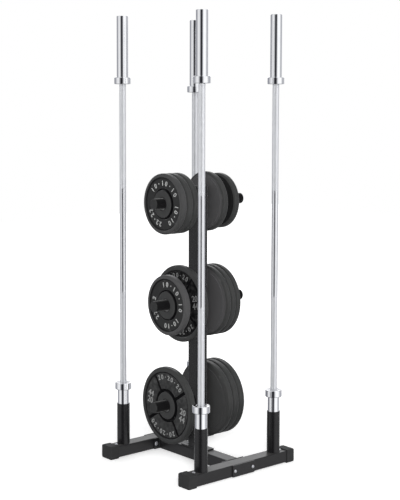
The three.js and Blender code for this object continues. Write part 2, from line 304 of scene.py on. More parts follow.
def edge_wear(tree, place, low, high):
    """1 on worn outer edges, broken up by noise."""
    sharpness = node(tree, "NewGeometry").outputs["Pointiness"]
    edges = between(tree, sharpness, low, high, 0, 1)
    patches = between(tree, noise(tree, place, 60, 4, 0.6), 0.42, 0.62, 0, 1)
    return calc(tree, "MULTIPLY", edges, patches)


def powder_coat(tree, place, low, high, smooth, rough, gloss):
    """Black coat between two colours and two roughnesses."""
    clouds = noise(tree, place, 16, 4, 0.6)
    worn = calc(tree, "MULTIPLY", edge_wear(tree, place, 0.53, 0.62), 0.4)
    rubbed = (0.07, 0.07, 0.073)
    orange_peel = bump(tree, noise(tree, place, 380, 3), 0.12, 0.2 * mm)
    return {
        "Base Color": blend_colours(tree, worn, mottled(tree, clouds, low, high), rubbed),
        "Roughness": varied(tree, clouds, smooth, rough),
        "Normal": bump(tree, noise(tree, place, 1100), 0.15, 0.1 * mm, orange_peel),
        "IOR": 1.5,
        "Specular IOR Level": gloss,
        "Sheen Weight": 0.12,
        "Sheen Roughness": 0.4,
        "Sheen Tint": (1.0, 1.0, 0.97, 1.0),
    }


def cap_plastic(tree, place):
    clouds = noise(tree, place, 22, 3)
    base = mottled(tree, clouds, (0.022, 0.0225, 0.0225), (0.029, 0.029, 0.0295))
    scuffs = between(tree, noise(tree, place, 45, 6, 0.7), 0.6, 0.72, 0, 0.35)
    scuffed = (0.05, 0.05, 0.05)
    grain = node(tree, "TexVoronoi", {"Vector": place, "Scale": 800}).outputs["Distance"]
    return {
        "Base Color": blend_colours(tree, scuffs, base, scuffed),
        "Roughness": varied(tree, clouds, 0.62, 0.74),
        "Normal": bump(tree, grain, 0.35, 0.3 * mm),
        "IOR": 1.46,
        "Specular IOR Level": 0.35,
    }


def bolt_steel(tree, place):
    clouds = noise(tree, place, 260, 4, 0.6)
    return {
        "Base Color": mottled(tree, clouds, (0.70, 0.71, 0.74), (0.88, 0.88, 0.89)),
        "Metallic": 1.0,
        "Roughness": varied(tree, clouds, 0.26, 0.4),
        "Normal": bump(tree, noise(tree, place, 1500), 0.15, 0.1 * mm),
    }


def turned_lines(tree, place):
    """The faint rings that a lathe leaves round an upright bar."""
    flat = node(tree, "CombineXYZ", {"Z": parts(tree, place)["Z"]}).outputs["Vector"]
    return noise(tree, flat, 1 / LATHE_PITCH, 2, 0.6)


def polished_chrome(tree, place):
    smears = noise(tree, place, 30, 4, 0.65)
    return {
        "Base Color": mottled(tree, smears, (0.88, 0.885, 0.90), (0.93, 0.935, 0.945)),
        "Metallic": 1.0,
        "Roughness": between(tree, smears, *SMEAR_SPAN, 0.06, 0.13),
        "Normal": bump(tree, turned_lines(tree, place), 0.05, 0.05 * mm),
    }


def knurl_height(tree, place):
    """Crossed diagonal cuts round an upright bar of the shaft's size, and the height on the bar."""
    x, y, z = parts(tree, place)
    angle = calc(tree, "ARCTAN2", y, x)
    turns = round(tau * SHAFT_RADIUS / KNURL_PITCH)
    across = calc(tree, "MULTIPLY", angle, float(turns))
    up = calc(tree, "MULTIPLY", z, tau / KNURL_PITCH)
    cuts = []
    for way in ("ADD", "SUBTRACT"):
        wave = calc(tree, "COSINE", calc(tree, way, across, up))
        cuts.append(calc(tree, "ABSOLUTE", wave))
    return calc(tree, "MULTIPLY", *cuts), z


def shaft_chrome(tree, place):
    cuts, height = knurl_height(tree, place)
    low, high = SMOOTH_GRIP
    above = between(tree, height, high - KNURL_BLUR, high + KNURL_BLUR, 0, 1)
    below = between(tree, height, low - KNURL_BLUR, low + KNURL_BLUR, 1, 0)
    knurled = calc(tree, "MAXIMUM", above, below)
    smears = noise(tree, place, 40, 4, 0.65)
    bright = mottled(tree, smears, (0.86, 0.865, 0.88), (0.91, 0.915, 0.93))
    dull = mottled(tree, smears, (0.69, 0.70, 0.725), (0.74, 0.75, 0.77))
    rough = between(tree, knurled, 0, 1, 0.31, 0.40)
    return {
        "Base Color": blend_colours(tree, knurled, bright, dull),
        "Metallic": between(tree, knurled, 0, 1, 1.0, 0.66),
        "Roughness": calc(tree, "ADD", rough, between(tree, smears, *SMEAR_SPAN, 0, 0.04)),
        "Normal": bump(tree, calc(tree, "MULTIPLY", cuts, knurled), 0.12, 0.1 * mm),
    }


def shade(tree):
    """The painted shading of the casting: above 0 painted shade that darkens its hollows, below 0 painted
    light that greys its back and rim.
    """
    return node(tree, "Attribute", attribute_name="painted_shading").outputs["Fac"]


def cast_iron(tree, place):
    clouds = noise(tree, place, 18, 5, 0.6)
    base = mottled(tree, clouds, (0.024, 0.0245, 0.024), (0.031, 0.0315, 0.031))
    # Painted shading: painted shade darkens the recess, grooves and gaps towards near black, and painted
    # light greys the back and rim of some plates
    painted_shading = shade(tree)
    painted_shade_share = calc(tree, "MULTIPLY", calc(tree, "MAXIMUM", painted_shading, 0.0), 0.95)
    painted_light_share = between(tree, painted_shading, -1, 0, 1, 0)
    painted_light_colour = blend_colours(tree, painted_light_share, base, (0.062, 0.061, 0.0625))
    darkened = blend_colours(tree, painted_shade_share, painted_light_colour, (0.0025, 0.0025, 0.003))
    worn = calc(tree, "MULTIPLY", edge_wear(tree, place, 0.53, 0.6), 0.3)
    hammer = node(tree, "TexVoronoi", {"Vector": place, "Scale": 260}, feature="SMOOTH_F1")
    dents = bump(tree, hammer.outputs["Distance"], 0.15, 0.6 * mm)
    return {
        "Base Color": blend_colours(tree, worn, darkened, (0.13, 0.13, 0.13)),
        "Roughness": varied(tree, clouds, 0.46, 0.54),
        "Normal": bump(tree, noise(tree, place, 900, 3, 0.6), 0.25, 0.15 * mm, dents),
        "IOR": 1.5,
        # Reflection is weakened where the painted shade is
        "Specular IOR Level": between(tree, painted_shading, 0, 0.9, 0.38, 0.01),
    }


def mark_paint(tree, place):
    chips = between(tree, noise(tree, place, 420, 4, 0.7), 0.36, 0.5, 0, 1)
    fresh = blend_colours(tree, chips, (0.14, 0.14, 0.14), (0.42, 0.425, 0.42))
    # Painted shade: the numbers darken with the shade painted into the recess they stand in, or with their
    # own tone
    painted_mark_shade = between(tree, shade(tree), WEB_SHADE, 1, 0, 0.7)
    return {
        "Base Color": blend_colours(tree, painted_mark_shade, fresh, (0.05, 0.05, 0.05)),
        "Roughness": between(tree, chips, 0, 1, 0.6, 0.45),
        "Normal": bump(tree, noise(tree, place, 800, 3, 0.6), 0.3, 0.2 * mm),
    }


# Mesh code: every shape is a list of points and a list of faces


def on_circle(radius, angle, x=0.0, y=0.0):
    """A point on a circle."""
    return x + radius * cos(angle), y + radius * sin(angle)


def round_turn(steps):
    """The angles of a whole turn in equal steps."""
    return [tau * step / steps for step in range(steps)]


def part_way(start, end, share):
    """A point between two, at that share of the way."""
    return tuple(a + (b - a) * share for a, b in zip(start, end))


def rounded(corners, closed=False):
    """A profile of (x, y, radius) corners with each rounded off. A fourth value goes to its points."""
    points = []
    last = len(corners) - 1
    for index, (x, y, radius, *value) in enumerate(corners):
        if radius == 0 or (not closed and index in (0, last)):
            points.append((x, y, *value))
            continue
        here = Vector((x, y))
        before = (Vector(corners[index - 1][:2]) - here).normalized()
        after = (Vector(corners[(index + 1) % len(corners)][:2]) - here).normalized()
        half = before.angle(after) / 2
        centre = here + (before + after).normalized() * (radius / sin(half))
        reach = radius / tan(half)
        start = here + before * reach - centre
        end = here + after * reach - centre
        first = atan2(start.y, start.x)
        sweep = remainder(atan2(end.y, end.x) - first, tau)
        for step in range(FILLET_STEPS + 1):
            angle = first + sweep * step / FILLET_STEPS
            points.append((*on_circle(radius, angle, *centre), *value))
    return points


def guarded(points, closed=False):
    """The same points with two more on each long stretch, so that wear at an edge stays there."""
    made = []
    for index, start in enumerate(points):
        made.append(start)
        if index == len(points) - 1 and not closed:
            break
        end = points[(index + 1) % len(points)]
        length = dist(start, end)
        if length > 4 * GUARD:
            made += [part_way(start, end, share) for share in (GUARD / length, 1 - GUARD / length)]
    return made


def bridge(rings, closed=False):
    """Faces between neighbouring rings of point numbers."""
    faces = []
    pairs = list(zip(rings, rings[1:]))
    if closed:
        pairs.append((rings[-1], rings[0]))
    for low, high in pairs:
        for here in range(len(low)):
            there = (here + 1) % len(low)
            face = list(dict.fromkeys((low[here], low[there], high[there], high[here])))
            if len(face) > 2:
                faces.append(face)
    return faces


def lathe(profile, steps=TURN_STEPS, closed=False):
    """A profile of (radius, height) pairs turned about Z."""
    return turned(guarded(profile, closed), steps, closed)


def turned(profile, steps, closed):
    """The points of a profile turned about Z, just as they are."""
    points = []
    rings = []
    for radius, height, *_ in profile:
        if radius < ON_AXIS:
            rings.append([len(points)] * steps)
            points.append(Vector((0, 0, height)))
            continue
        rings.append(list(range(len(points), len(points) + steps)))
        points += [Vector((*on_circle(radius, angle), height)) for angle in round_turn(steps)]
    return points, bridge(rings, closed)


def rounded_rectangle(width, height, corner):
    """The outline of a rectangle with round corners, anticlockwise."""
    outline = []
    for index, (across, up) in enumerate(((1, 1), (-1, 1), (-1, -1), (1, -1))):
        centre_x = across * (width / 2 - corner)
        centre_y = up * (height / 2 - corner)
        for step in range(CORNER_STEPS + 1):
            angle = (index + step / CORNER_STEPS) * pi / 2
            outline.append(on_circle(corner, angle, centre_x, centre_y))
        end = outline[-1]
        reach = (width if index % 2 == 0 else height) - 2 * corner
        along = (-across, 0) if index % 2 == 0 else (0, -up)
        for distance in (min(GUARD, reach / 3), max(reach - GUARD, reach * 2 / 3)):
            outline.append((end[0] + along[0] * distance, end[1] + along[1] * distance))
    return outline


def loft(stations, closed=False):
    """A skin over rounded rectangles (width, height, corner, place) along Z, with ends unless closed."""
    points = []
    rings = []
    for width, height, corner, place in guarded(stations, closed):
        outline = rounded_rectangle(width, height, corner)
        rings.append(list(range(len(points), len(points) + len(outline))))
        points += [Vector((x, y, place)) for x, y in outline]
    faces = bridge(rings, closed)
    if not closed:
        faces += [rings[0][::-1], rings[-1]]
    return points, faces


def tube(width, height, length):
    """A rectangular tube, centred, along Z, open at both ends."""
    half = length / 2
    outer = (width, height, TUBE_CORNER)
    inner = (width - 2 * TUBE_WALL, height - 2 * TUBE_WALL, TUBE_CORNER - TUBE_WALL)
    return loft([(*outer, -half), (*outer, half), (*inner, half), (*inner, -half)], closed=True)


def slab(width, height, thickness, corner=PLATE_CORNER, edge=EDGE):
    """A flat plate with softened edges, centred, lying across Z."""
    half = thickness / 2
    outer = (width, height, corner)
    inset = (width - 2 * edge, height - 2 * edge, corner - edge)
    return loft([(*inset, -half), (*outer, edge - half), (*outer, half - edge), (*inset, half)])


UP = Vector((0, 0, 1))


def bead(path, thickness, seed):
    """A rippled weld along a closed path of (place, outwards, upwards)."""
    dice = random.Random(seed)
    points = []
    rings = []
    for index, (place, outwards, upwards) in enumerate(path):
        swell = RIPPLE * sin(index * RIPPLE_PACE)
        ripple = 1 + swell + dice.uniform(-RIPPLE_CHANCE, RIPPLE_CHANCE)
        rings.append(list(range(len(points), len(points) + BEAD_SIDES)))
        for angle in round_turn(BEAD_SIDES):
            reach = outwards * cos(angle) + upwards * sin(angle)
            points.append(place + reach * thickness * ripple)
    return points, bridge(rings, closed=True)


def round_path(radius, height):
    """A circle about Z for a bead."""
    path = []
    for angle in round_turn(FINE_STEPS):
        outwards = Vector((*on_circle(1, angle), 0))
        path.append((outwards * radius + UP * height, outwards, UP))
    return path


def tube_path(width, height, place):
    """The outline of a rectangular tube at a place along Z, for a bead."""
    outline = rounded_rectangle(width, height, TUBE_CORNER)
    path = []
    for index, start in enumerate(outline):
        end = outline[(index + 1) % len(outline)]
        start = Vector((*start, place))
        end = Vector((*end, place))
        count = max(1, round((end - start).length / BEAD_SPACING))
        outwards = (end - start).cross(UP).normalized()
        path += [(start.lerp(end, step / count), outwards, UP) for step in range(count)]
    return path


AXIS_TURNS = {
    "x": Matrix(((0, 0, 1, 0), (1, 0, 0, 0), (0, 1, 0, 0), (0, 0, 0, 1))),
    "y": Matrix(((0, 1, 0, 0), (0, 0, 1, 0), (1, 0, 0, 0), (0, 0, 0, 1))),
    "z": Matrix(),
}


def moved(shape, move):
    """A shape moved by a matrix."""
    points, faces = shape
    return [move @ point for point in points], faces


def placed(shape, place=(0, 0, 0), axis="z", flip=False):
    """A shape turned so that its Z lies along an axis, and moved. flip turns it end for end first."""
    turn = Matrix.Rotation(pi, 4, "X") if flip else Matrix()
    return moved(shape, Matrix.Translation(place) @ AXIS_TURNS[axis] @ turn)


def smoothed(mesh):
    """The mesh, shaded smooth but for its sharp edges."""
    mesh.shade_smooth()
    mesh.set_sharp_from_angle(angle=SHARP_ANGLE)
    return mesh


def new_object(name, data):
    """A new object in the scene."""
    made = bpy.data.objects.new(name, data)
    bpy.context.scene.collection.objects.link(made)
    return made


class Body:
    """Collects shapes, each with its finish and its painted shading, into one mesh."""

    def __init__(self):
        self.points = []
        self.faces = []
        self.finishes = []
        self.painted_shading_values = []

    def add(self, shape, finish=0, painted_shading=None):
        points, faces = shape
        start = len(self.points)
        self.points += points
        self.faces += [[start + index for index in face] for face in faces]
        self.finishes += [finish] * len(faces)
        self.painted_shading_values += painted_shading or [0.0] * len(points)
        return self

    def mesh(self, name):
        made = bpy.data.meshes.new(name)
        made.from_pydata(self.points, [], self.faces)
        made.polygons.foreach_set("material_index", self.finishes)
        painted_shading = made.attributes.new("painted_shading", "FLOAT", "POINT")
        painted_shading.data.foreach_set("value", self.painted_shading_values)
        work = bmesh.new()
        work.from_mesh(made)
        bmesh.ops.recalc_face_normals(work, faces=work.faces)
        work.to_mesh(made)
        work.free()
        return smoothed(made)


def piece(name, body, finishes, nodes, rides="rack", place=(0, 0, 0), turn=Matrix(), reflected=True):
    """Puts a body into the scene as one named piece that stands for nodes of the frame."""
    made = new_object(name, body if isinstance(body, bpy.types.Mesh) else body.mesh(name))
    for finish in finishes:
        made.data.materials.append(finish)
    made.matrix_world = Matrix.Translation(place) @ turn
    weighted = made.modifiers.new("even_shading", "WEIGHTED_NORMAL")
    weighted.keep_sharp = True
    made.visible_glossy = reflected
    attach(made, rides)
    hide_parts(*nodes)


def final_mesh(made):
    """The mesh that an object shows."""
    bpy.context.view_layer.update()
    graph = bpy.context.evaluated_depsgraph_get()
    return bpy.data.meshes.new_from_object(made.evaluated_get(graph))


def pierced(mesh, holes):
    """The mesh with upright round holes (x, y, low, high, radius) cut through it."""
    cutter_body = Body()
    for x, y, low, high, radius in holes:
        cutter_body.add(placed(lathe([(0, low), (radius, low), (radius, high), (0, high)]), (x, y, 0)))
    whole = new_object("whole", mesh)
    cutter = new_object("cutter", cutter_body.mesh("cutter"))
    cut = whole.modifiers.new("holes", "BOOLEAN")
    cut.operation = "DIFFERENCE"
    cut.solver = "EXACT"
    cut.object = cutter
    result = final_mesh(whole)
    for made in (whole, cutter):
        spent = made.data
        bpy.data.objects.remove(made)
        bpy.data.meshes.remove(spent)
    return smoothed(result)


def centre_of(name):
    """The middle and the size of a CAD node's box."""
    low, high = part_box(name)
    return (low + high) / 2, high - low


# The frame of the rack


def build_rails():
    for end in ENDS:
        middle, size = centre_of(f"{end}_rail")
        shape = placed(tube(size.y, size.z, size.x), middle, "x")
        top = middle.z + size.z / 2
        holes = []
        for side in SIDES:
            socket, socket_size = centre_of(f"{end}_{side}_socket")
            radius = socket_size.x / 2 + CUT_ROUND
            holes.append((socket.x, socket.y, top - TUBE_WALL - CUT_PAST, top + CUT_PAST, radius))
        mesh = pierced(Body().add(shape).mesh(f"{end}_rail"), holes)
        piece(f"{end}_rail_tube", mesh, [coat], [f"{end}_rail"])


def build_crossbar():
    middle, size = centre_of("crossbar")
    body = Body()
    length = size.y - FLANGE_THICKNESS
    body.add(placed(tube(size.z, CROSSBAR_WIDTH, length), middle, "y"))
    for index, way in enumerate(ENDS.values()):
        flange_y = middle.y + way * length / 2
        flange = slab(size.z, size.x, FLANGE_THICKNESS)
        body.add(placed(flange, (middle.x, flange_y, middle.z), "y"))
        seam_y = flange_y - way * FLANGE_THICKNESS / 2
        seam = bead(tube_path(size.z - 2 * BEAD, CROSSBAR_WIDTH, 0), BEAD, index)
        body.add(placed(seam, (middle.x, seam_y, middle.z), "y"))
    piece("crossbar_tube", body, [coat], ["crossbar"])


def build_clamp_plates():
    for end in ENDS:
        name = f"{end}_clamp_plate"
        middle, size = centre_of(name)
        shape = placed(slab(size.z, size.x, size.y), middle, "y")
        piece(f"{end}_clamp", Body().add(shape), [coat], [name])


def foot_outline(size, inset):
    """The width, height and corner of the outside of a foot cap, drawn in by an inset."""
    return size.y - 2 * inset, size.z - 2 * inset, FOOT_CORNER - inset


def build_foot_caps():
    for corner in CORNERS:
        name = f"{corner}_foot_cap"
        middle, size = centre_of(name)
        half = size.x / 2
        pocket = (size.y - 2 * FOOT_WALL, size.z - 2 * FOOT_WALL, TUBE_CORNER)
        stations = [
            (*pocket, half - FOOT_WALL), (*pocket, -half),
            (*foot_outline(size, FOOT_LIP), -half), (*foot_outline(size, 0), FOOT_LIP - half),
        ]
        for step in range(FILLET_STEPS + 1):
            angle = step / FILLET_STEPS * pi / 2
            inset = FOOT_EDGE * (1 - cos(angle))
            stations.append((*foot_outline(size, inset), half - FOOT_EDGE * (1 - sin(angle))))
        shape = placed(loft(stations), middle, "x", flip=middle.x < 0)
        piece(f"{corner}_foot", Body().add(shape), [plastic], [name])


def build_post():
    low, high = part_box("post")
    size = high - low
    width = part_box("post_cap")[1].x * 2
    body = Body()
    length = high.z - low.z - BASE_PLATE_THICKNESS / 2
    body.add(placed(tube(width, width, length), (0, 0, high.z - length / 2)))
    base = slab(size.x, size.y, BASE_PLATE_THICKNESS)
    body.add(placed(base, (0, 0, low.z + BASE_PLATE_THICKNESS / 2)))
    body.add(bead(tube_path(width, width, low.z + BASE_PLATE_THICKNESS), BEAD, 7))
    piece("post_tube", body, [glossy], ["post"])
    cap_low, cap_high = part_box("post_cap")
    top = cap_high.z
    brim = top - LID_THICKNESS
    plug = width - 2 * TUBE_WALL - LID_PLAY
    outlines = [
        (plug, LID_EDGE, cap_low.z), (plug, LID_EDGE, brim),
        (width, TUBE_CORNER, brim), (width, TUBE_CORNER, top - LID_EDGE),
        (width - LID_EDGE, TUBE_CORNER - LID_EDGE / 2, top - LID_EDGE * 0.3),
        (width - 2.5 * LID_EDGE, TUBE_CORNER - LID_EDGE, top),
    ]
    lid = loft([(side, side, corner, place) for side, corner, place in outlines])
    piece("post_lid", Body().add(lid), [plastic], ["post_cap"])


def bolt_shape(grip):
    """A dome-head bolt along Z, with a flanged nut below the grip."""
    head = BOLT_HEAD / 2
    shank = BOLT_DIAMETER / 2
    top = GAP + BOLT_RISE
    nut_top = -grip - GAP
    nut_low = nut_top - NUT_THICKNESS
    tip = nut_low - BOLT_TAIL
    profile = [
        (0, tip, 0), (shank - BOLT_POINT, tip, 0), (shank, tip + BOLT_POINT, 0),
        (shank, GAP, 0), (head - GAP, GAP, 0.2 * mm), (head, GAP + BOLT_BRIM, 0.5 * mm),
        (head * 0.82, GAP + BOLT_RISE * 0.72, 1.6 * mm),
        (KEY_RADIUS + KEY_RIM, top, 1.2 * mm), (KEY_RADIUS, top, 0.2 * mm),
        (KEY_RADIUS, top - KEY_DEPTH, 0), (0, top - KEY_TIP_DEPTH, 0),
    ]
    flange = [
        (shank, nut_top, 0), (NUT_FLANGE / 2, nut_top, 0.4 * mm),
        (NUT_FLANGE / 2, nut_top - NUT_FLANGE_BRIM, 0.5 * mm),
        (NUT_SIZE / 2, nut_top - NUT_FLANGE_HEIGHT, 0), (shank, nut_top - NUT_FLANGE_HEIGHT, 0),
    ]
    nut = [
        (shank, nut_low), (NUT_SIZE / 2 * 0.86, nut_low), (NUT_SIZE / 2, nut_low + NUT_CHAMFER),
        (NUT_SIZE / 2, nut_top - NUT_OVERLAP), (shank, nut_top - NUT_OVERLAP),
    ]
    body = Body()
    body.add(lathe(rounded(profile), BOLT_STEPS))
    body.add(lathe(rounded(flange, closed=True), BOLT_STEPS, closed=True))
    body.add(lathe(nut, 6, closed=True))
    return body


def fasten(name, grip, place, turn=Matrix()):
    """Puts a bolt where a CAD bolt is, with the underside of its head at a place."""
    piece(name.replace("_bolt", "_fastener"), bolt_shape(grip), [bolt], [name],
          place=place, turn=turn)


def build_bolts():
    for corner in CORNERS:
        end = corner.split("_")[0]
        middle = centre_of(f"{corner}_rail_bolt")[0]
        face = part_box(f"{end}_clamp_plate")[0 if end == "front" else 1].y
        grip = abs(face) - abs(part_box("crossbar")[0].y) + FLANGE_THICKNESS
        turn = Matrix.Rotation(-ENDS[end] * pi / 2, 4, "X")
        fasten(f"{corner}_rail_bolt", grip, (middle.x, face, middle.z), turn)
        middle = centre_of(f"{corner}_socket_bolt")[0]
        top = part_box(f"{end}_rail")[1].z
        fasten(f"{corner}_socket_bolt", TUBE_WALL, (middle.x, middle.y, top))
    for end in ENDS:
        middle = centre_of(f"{end}_post_bolt")[0]
        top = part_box("post")[0].z + BASE_PLATE_THICKNESS
        fasten(f"{end}_post_bolt", BASE_PLATE_THICKNESS + GAP + TUBE_WALL, (middle.x, middle.y, top))


def build_sockets():
    for index, corner in enumerate(CORNERS):
        name = f"{corner}_socket"
        middle, size = centre_of(name)
        low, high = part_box(name)
        rail_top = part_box(f"{corner.split('_')[0]}_rail")[1].z
        outer = size.x / 2
        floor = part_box(f"{corner}_bar_lower_sleeve")[0].z - GAP
        profile = [
            (0, floor - SOCKET_FLOOR, 0), (SOCKET_BORE, floor - SOCKET_FLOOR, 0), (SOCKET_BORE, low.z, 0),
            (outer - SOCKET_TAPER_WIDTH, low.z, 0), (outer, low.z + SOCKET_TAPER, 0),
            (outer, high.z, 0.9 * mm), (SOCKET_BORE, high.z, 0.7 * mm),
            (SOCKET_BORE, floor, 0), (0, floor, 0),
        ]
        body = Body().add(lathe(rounded(profile), FINE_STEPS))
        body.add(bead(round_path(outer + GAP, rail_top), ROUND_BEAD, 20 + index))
        piece(f"{corner}_socket_tube", body, [glossy],
              [name], place=(middle.x, middle.y, 0))


def build_peg_cap(level, side, radius, height):
    name = f"{level}_{side}_peg_cap"
    way = SIDES[side]
    inner, tip = sorted(abs(corner.x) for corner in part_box(name))
    plug = radius - PEG_WALL - PEG_CAP_PLAY
    profile = [
        (0, inner, 0), (plug, inner, 0.8 * mm), (plug, tip - PEG_CAP_LIP, 0),
        (radius, tip - PEG_CAP_LIP, 0.3 * mm), (radius, tip - PEG_CAP_CROWN, 1.8 * mm),
        (radius - PEG_CAP_LIP, tip, 1.5 * mm), (0, tip, 0),
    ]
    body = Body().add(placed(lathe(rounded(profile)), axis="x", flip=way < 0))
    piece(f"{level}_{side}_peg_end", body, [plastic],
          [name], place=(0, 0, height), reflected=False)


def build_pegs():
    for level in LEVELS:
        middle, size = centre_of(f"{level}_peg")
        radius = size.z / 2
        bore = radius - PEG_WALL
        half = size.x / 2
        ring = [(bore, -half), (radius, -half), (radius, half), (bore, half)]
        body = Body().add(placed(lathe(ring, closed=True), axis="x"))
        post_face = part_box("post_cap")[1].x
        for way in SIDES.values():
            seam = bead(round_path(radius, 0), ROUND_BEAD, 40 + way)
            body.add(placed(seam, (way * post_face, 0, 0), "x"))
        piece(f"{level}_peg_tube", body, [shaded],
              [f"{level}_peg"], place=(0, 0, middle.z), reflected=False)
        for side in SIDES:
            build_peg_cap(level, side, radius, middle.z)


# Barbells


def sleeve_shape(length):
    """A sleeve with its collar from the origin upwards, bored for the neck of the shaft. There is a groove
    under the collar, and a ring and a dimple in the end."""
    bore = NECK_RADIUS + NECK_CLEARANCE
    groove = GAP + COLLAR_GROOVE_DEPTH
    tip = COLLAR_THICKNESS + length
    end_groove = tip - END_GROOVE_DEPTH
    face = tip - END_DROP
    dimple = tip - DIMPLE_DEPTH
    profile = [
        (0, NECK_LENGTH + GAP, 0), (bore, NECK_LENGTH + GAP, 0), (bore, GAP, 0.5 * mm),
        (18.5 * mm, GAP, 0.4 * mm), (19 * mm, groove, 0.4 * mm),
        (21 * mm, groove, 0.4 * mm), (21.5 * mm, GAP, 0.4 * mm),
        (COLLAR_RADIUS, GAP, 3 * mm), (COLLAR_RADIUS, COLLAR_THICKNESS, 3 * mm),
        (SLEEVE_RADIUS, COLLAR_THICKNESS, 0.8 * mm), (SLEEVE_RADIUS, tip, 1.6 * mm),
        (20.5 * mm, tip, 0.4 * mm), (20.2 * mm, end_groove, 0.3 * mm),
        (18.6 * mm, end_groove, 0.3 * mm), (18.3 * mm, face, 0.3 * mm),
        (6 * mm, face, 0.4 * mm), (5.5 * mm, dimple, 0.3 * mm), (0, dimple, 0),
    ]
    return lathe(rounded(profile), FINE_STEPS)


def shaft_shape(low, high):
    """A shaft between two heights, with a thinner neck at each end for the sleeves."""
    grip_low = low + NECK_LENGTH
    grip_high = high - NECK_LENGTH
    return lathe([
        (0, low), (NECK_RADIUS - NECK_CHAMFER, low), (NECK_RADIUS, low + NECK_CHAMFER),
        (NECK_RADIUS, grip_low), (SHAFT_RADIUS - SHAFT_EDGE, grip_low),
        (SHAFT_RADIUS, grip_low + SHAFT_EDGE), (SHAFT_RADIUS, SMOOTH_GRIP[0]),
        (SHAFT_RADIUS, SMOOTH_GRIP[1]), (SHAFT_RADIUS, grip_high - SHAFT_EDGE),
        (SHAFT_RADIUS - SHAFT_EDGE, grip_high), (NECK_RADIUS, grip_high),
        (NECK_RADIUS, high - NECK_CHAMFER), (NECK_RADIUS - NECK_CHAMFER, high), (0, high),
    ])


def build_barbells():
    for corner in CORNERS:
        shaft_name = f"{corner}_bar_shaft"
        middle = centre_of(shaft_name)[0]
        low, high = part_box(shaft_name)
        piece(f"{corner}_bar_grip", Body().add(shaft_shape(low.z, high.z)), [shaft_metal],
              [shaft_name], rides=f"{corner}_bar", place=(middle.x, middle.y, 0))
        for place in ("upper", "lower"):
            name = f"{corner}_bar_{place}_sleeve"
            low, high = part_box(name)
            length = high.z - low.z + GAP - COLLAR_THICKNESS
            start = low.z - GAP if place == "upper" else high.z + GAP
            shape = placed(sleeve_shape(length), (0, 0, start), flip=place == "lower")
            piece(f"{name}_turned", Body().add(shape), [chrome],
                  [name], rides=f"{name}_turning", place=(middle.x, middle.y, 0))


# Cast plates


def plate_profile(radius, thickness, kind, back_tone, web_tone, rim_tone):
    """The section of a plate from the bore along the back, round the rim and over the front. The fourth
    value of a corner is its painted shading: painted shade above 0, painted light below 0."""
    bore = PLATE_BORE / 2
    hub = kind["hub"] / 2
    web = thickness - kind["recess"]
    rim = radius - kind["rim"]
    disc = radius * BACK_DISC
    slope = rim - RECESS_SLOPE
    groove = web - GROOVE_DEPTH
    lip = thickness - RECESS_LIP
    face = thickness - HUB_DROP
    return [
        (bore, BORE_CHAMFER, 0.5 * mm, 0.3), (bore + BORE_CHAMFER, 0, 0.5 * mm, back_tone),
        (disc, 0, 0.8 * mm, back_tone), (disc + BACK_STEP_WIDTH, BACK_STEP, 0.5 * mm, back_tone),
        (radius - PLATE_BACK_ROUND - 2 * mm, BACK_STEP, 0, back_tone),
        (radius, BACK_STEP, PLATE_BACK_ROUND, rim_tone), (radius, thickness, PLATE_ROUND, rim_tone),
        (rim, thickness, 1.6 * mm, rim_tone), (rim - RECESS_SLOPE * 0.4, lip, 0, 0.55),
        (slope, web, 1.2 * mm, 0.8), (slope - 3 * mm, web, 0, 0.7), (slope - 6 * mm, web, 0, web_tone),
        (hub + 8 * mm, web, 0, web_tone), (hub + 6 * mm, groove, 0.8 * mm, 0.9),
        (hub + 1 * mm, groove, 0.8 * mm, 1.0), (hub - 0.5 * mm, lip, 0, 0.95),
        (hub - 1.5 * mm, face, 1.6 * mm, 0.0), (bore + 6 * mm, face, 0, 0.0), (bore, face, 1.8 * mm, 0.6),
    ]


def plate_shape(radius, thickness, kind, tones):
    """The turned body of a plate, and the painted shading at each of its points."""
    corners = plate_profile(radius, thickness, kind, *tones)
    profile = guarded(rounded(corners, closed=True), closed=True)
    shape = turned(profile, PLATE_STEPS, closed=True)
    painted_shading = [value for _, _, value in profile for _ in range(PLATE_STEPS)]
    return shape, painted_shading


def sector_panel(inner, outer, start, end, base, tone):
    """A raised panel between two radii and two edges, with sloping sides, and the painted shading at its
    points.
    """
    foot = base - PANEL_ROOT
    top = base + PANEL_RISE
    points = []
    grid = []
    rows = ((inner, foot), (inner + PANEL_LIP, top), (outer - PANEL_LIP, top), (outer, foot))
    for radius, height in rows:
        row = []
        for step in range(-1, PANEL_STEPS + 2):
            on_top = 0 <= step <= PANEL_STEPS
            side = asin((PANEL_GAP + (PANEL_LIP if on_top else 0)) / radius)
            share = min(max(step, 0), PANEL_STEPS) / PANEL_STEPS
            angle = start + side + (end - start - 2 * side) * share
            level = height if on_top else foot
            row.append(len(points))
            points.append(Vector((*on_circle(radius, angle), level)))
        grid.append(row)
    faces = []
    for low, high in zip(grid, grid[1:]):
        for here in range(len(low) - 1):
            faces.append([low[here], low[here + 1], high[here + 1], high[here]])
    # Painted shade along the panel's foot: its edge points are shaded fully
    rims = grid[0] + grid[-1] + [row[0] for row in grid] + [row[-1] for row in grid]
    painted_shading = [tone] * len(points)
    for index in rims:
        painted_shading[index] = 1.0
    return (points, faces), painted_shading


def dash(radius, angle, base):
    """A short raised bar on the face of a plate."""
    shape = slab(DASH_SIZE, DASH_SIZE, MARK_RISE + MARK_ROOT, DASH_CORNER, DASH_EDGE)
    move = Matrix.Translation((radius, 0, base + MARK_RISE / 2 - MARK_ROOT / 2))
    return moved(shape, Matrix.Rotation(angle, 4, "Z") @ move)


